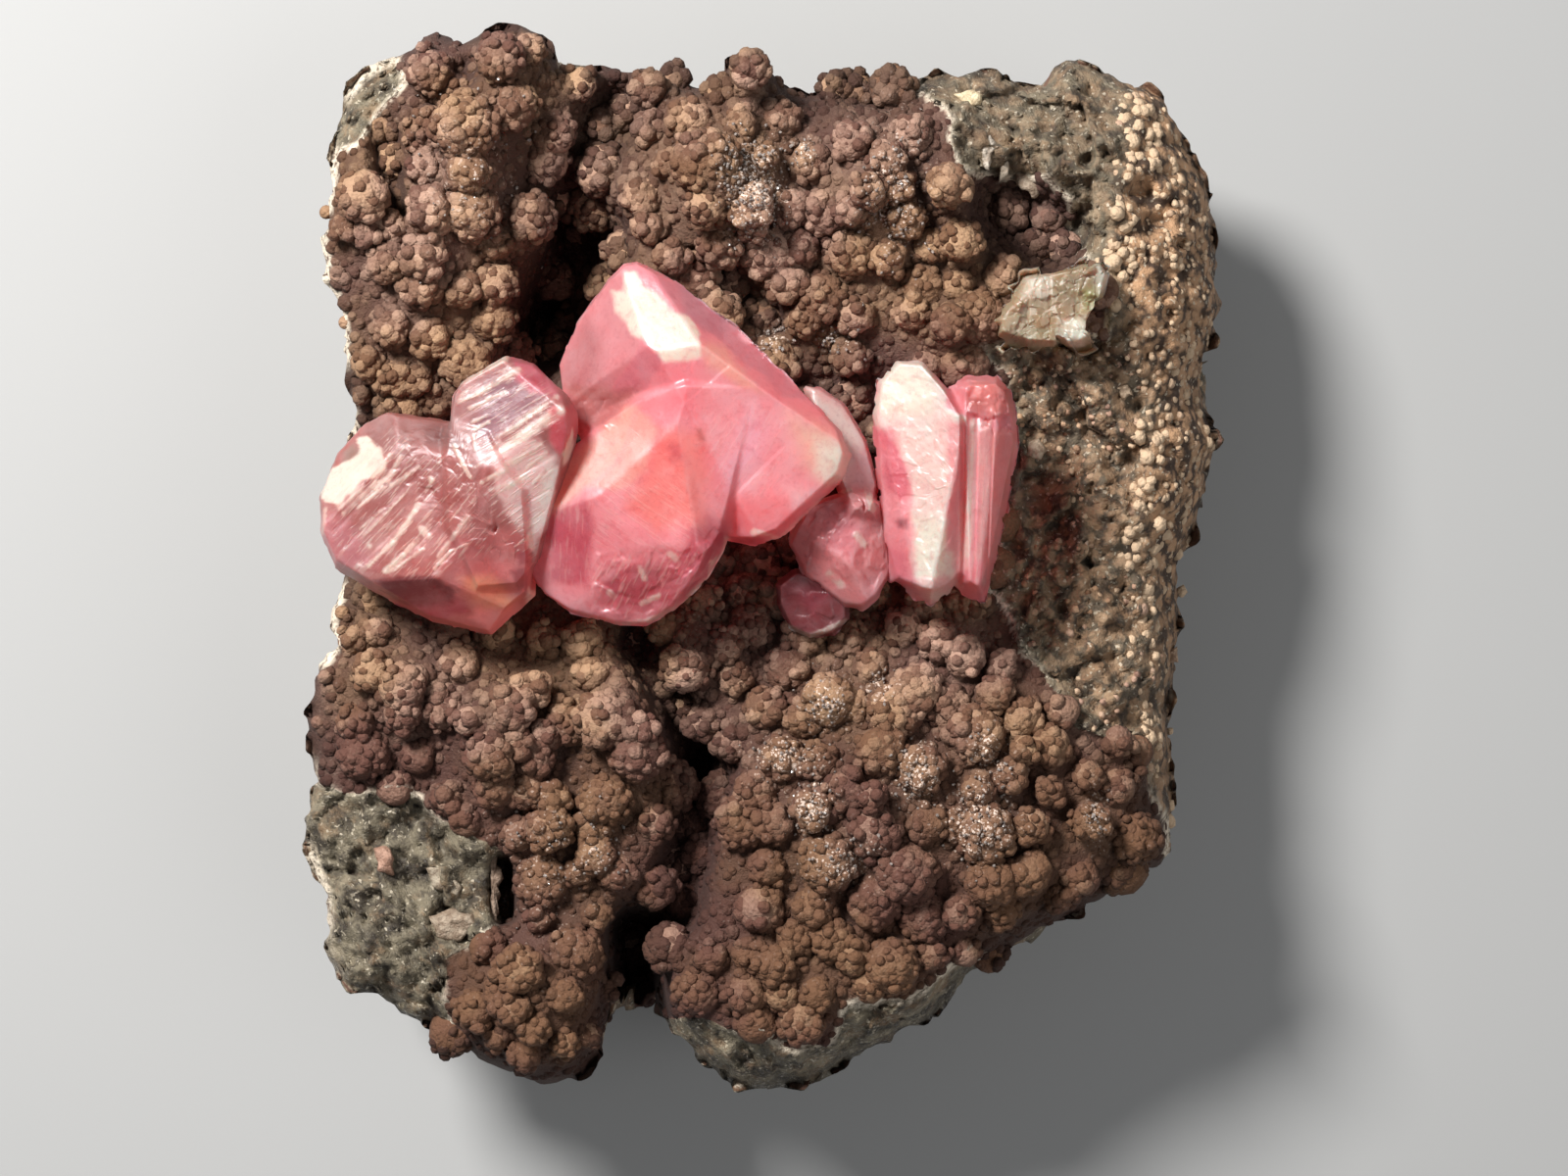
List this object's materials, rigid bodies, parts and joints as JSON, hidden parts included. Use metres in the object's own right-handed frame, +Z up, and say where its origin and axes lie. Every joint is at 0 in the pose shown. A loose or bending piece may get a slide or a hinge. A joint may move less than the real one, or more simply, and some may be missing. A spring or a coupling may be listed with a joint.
{
  "type": "rhodochrosite specimen",
  "caption": "Palm-sized mineral specimen: pink bladed rhodochrosite crystals set in a brown botryoidal crust on a block of dark broken rock, with a flat underside to rest on.",
  "frame": {"origin": "middle of the specimen's plan, on its flat underside", "axes": "+Z up out of the face that carries the crystals; +Y along the specimen's length, from the broad field of small lumps to the dome and pale crystal; +X to the right of that, towards the bare dark rock"},
  "size_m": [0.0496, 0.0568, 0.0269],
  "materials": {
    "crust_rock": "matte",
    "pink_crystal": "gloss",
    "mauve_crystal": "gloss",
    "cream_crystal": "satin"
  },
  "bodies": {
    "root": {"matrix": "crust_rock", "left_crystals": "pink_crystal", "centre_crystals": "pink_crystal", "small_crystals": "mauve_crystal", "right_crystals": "pink_crystal", "pale_crystal": "cream_crystal"}
  },
  "joints": []
}
